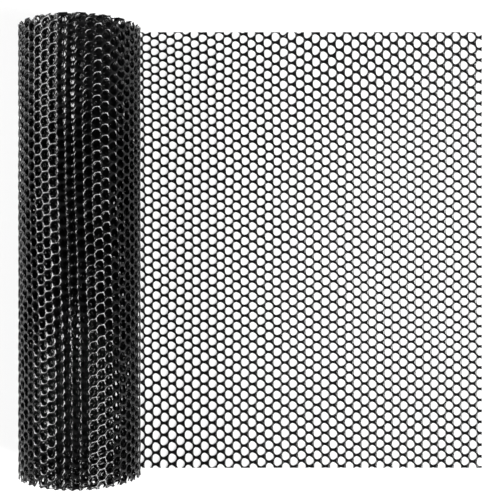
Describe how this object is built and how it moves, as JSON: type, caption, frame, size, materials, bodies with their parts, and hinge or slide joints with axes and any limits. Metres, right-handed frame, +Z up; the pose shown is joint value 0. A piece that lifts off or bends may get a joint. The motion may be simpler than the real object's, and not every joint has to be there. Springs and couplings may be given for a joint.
{
  "type": "roll of plastic chicken wire",
  "caption": "Roll of black plastic netting with small hexagonal holes, lying on its side around an open middle, with its outer end run out flat from under it.",
  "frame": {"origin": "middle of the footprint, on the surface that the roll and its loose end lie on", "axes": "+X from the roll along the loose end to its cut edge, +Y along the roll's axis, +Z up"},
  "size_m": [0.4152, 0.4, 0.1072],
  "materials": {
    "net": "black extruded polyethylene with a soft sheen"
  },
  "bodies": {
    "root": {"wound_roll": "net", "loose_end": "net"}
  },
  "joints": []
}
